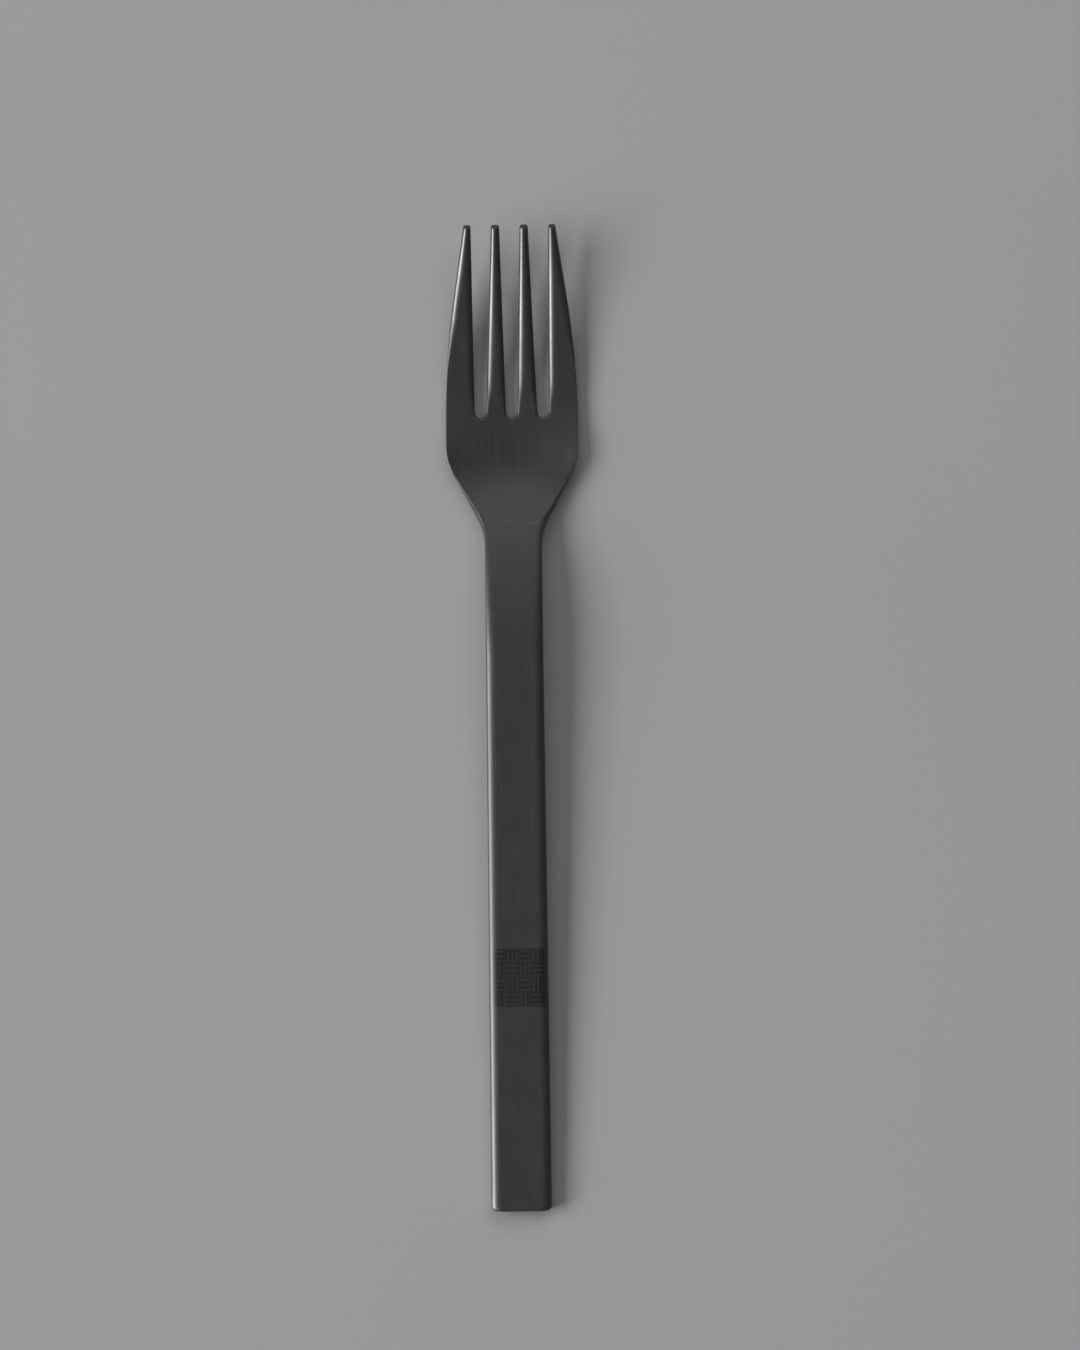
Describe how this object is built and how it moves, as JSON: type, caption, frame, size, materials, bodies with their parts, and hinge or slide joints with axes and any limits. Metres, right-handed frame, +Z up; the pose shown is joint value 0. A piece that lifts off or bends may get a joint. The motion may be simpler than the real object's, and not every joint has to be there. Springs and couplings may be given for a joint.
{
  "type": "table fork",
  "caption": "Matt black table fork: tapered tines and a dished bowl on a forged head, set by its tang into a straight hollow bar handle with a square butt.",
  "frame": {"origin": "middle of the fork's bounding box in plan, on the table that the fork lies on", "axes": "+Y along the fork to the tips of the tines, +Z up from the table on the hollow side of the bowl, +X to the right"},
  "size_m": [0.0268, 0.2002, 0.0116],
  "materials": {
    "black_steel": "matt black coating on steel, fine grain, slightly bright along the edges",
    "bonding_resin": "set bonding resin, hidden inside the handle"
  },
  "bodies": {
    "root": {"fork_head": "black_steel", "handle_upper_shell": "black_steel", "handle_lower_shell": "black_steel", "handle_filler": "bonding_resin"}
  },
  "joints": []
}
